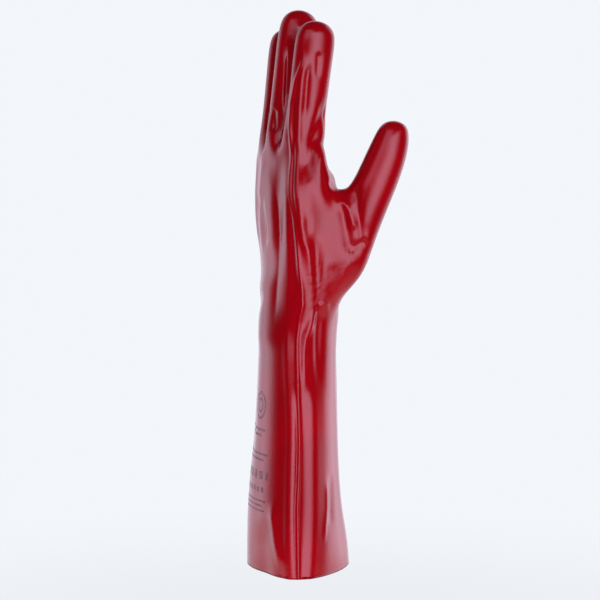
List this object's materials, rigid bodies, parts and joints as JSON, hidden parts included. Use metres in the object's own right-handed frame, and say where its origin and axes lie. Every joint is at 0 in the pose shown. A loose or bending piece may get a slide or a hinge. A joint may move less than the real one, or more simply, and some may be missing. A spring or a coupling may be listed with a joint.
{
  "type": "pvc coated work glove",
  "caption": "Left-hand gauntlet work glove of glossy red PVC over a cotton lining, fingers up and thumb out, open at the flared hem.",
  "frame": {"origin": "middle of the open cuff mouth, in the plane of the hem, where the arm goes in", "axes": "+Z from the hem up to the fingertips, +X from the little finger to the index finger, +Y from the back of the hand to the palm"},
  "size_m": [0.1183, 0.1016, 0.3513],
  "materials": {
    "pvc": "smooth glossy red dip coat with soft creases",
    "cotton": "off-white knitted cotton"
  },
  "bodies": {
    "root": {"pvc_coat": "pvc", "cotton_lining": "cotton"}
  },
  "joints": []
}
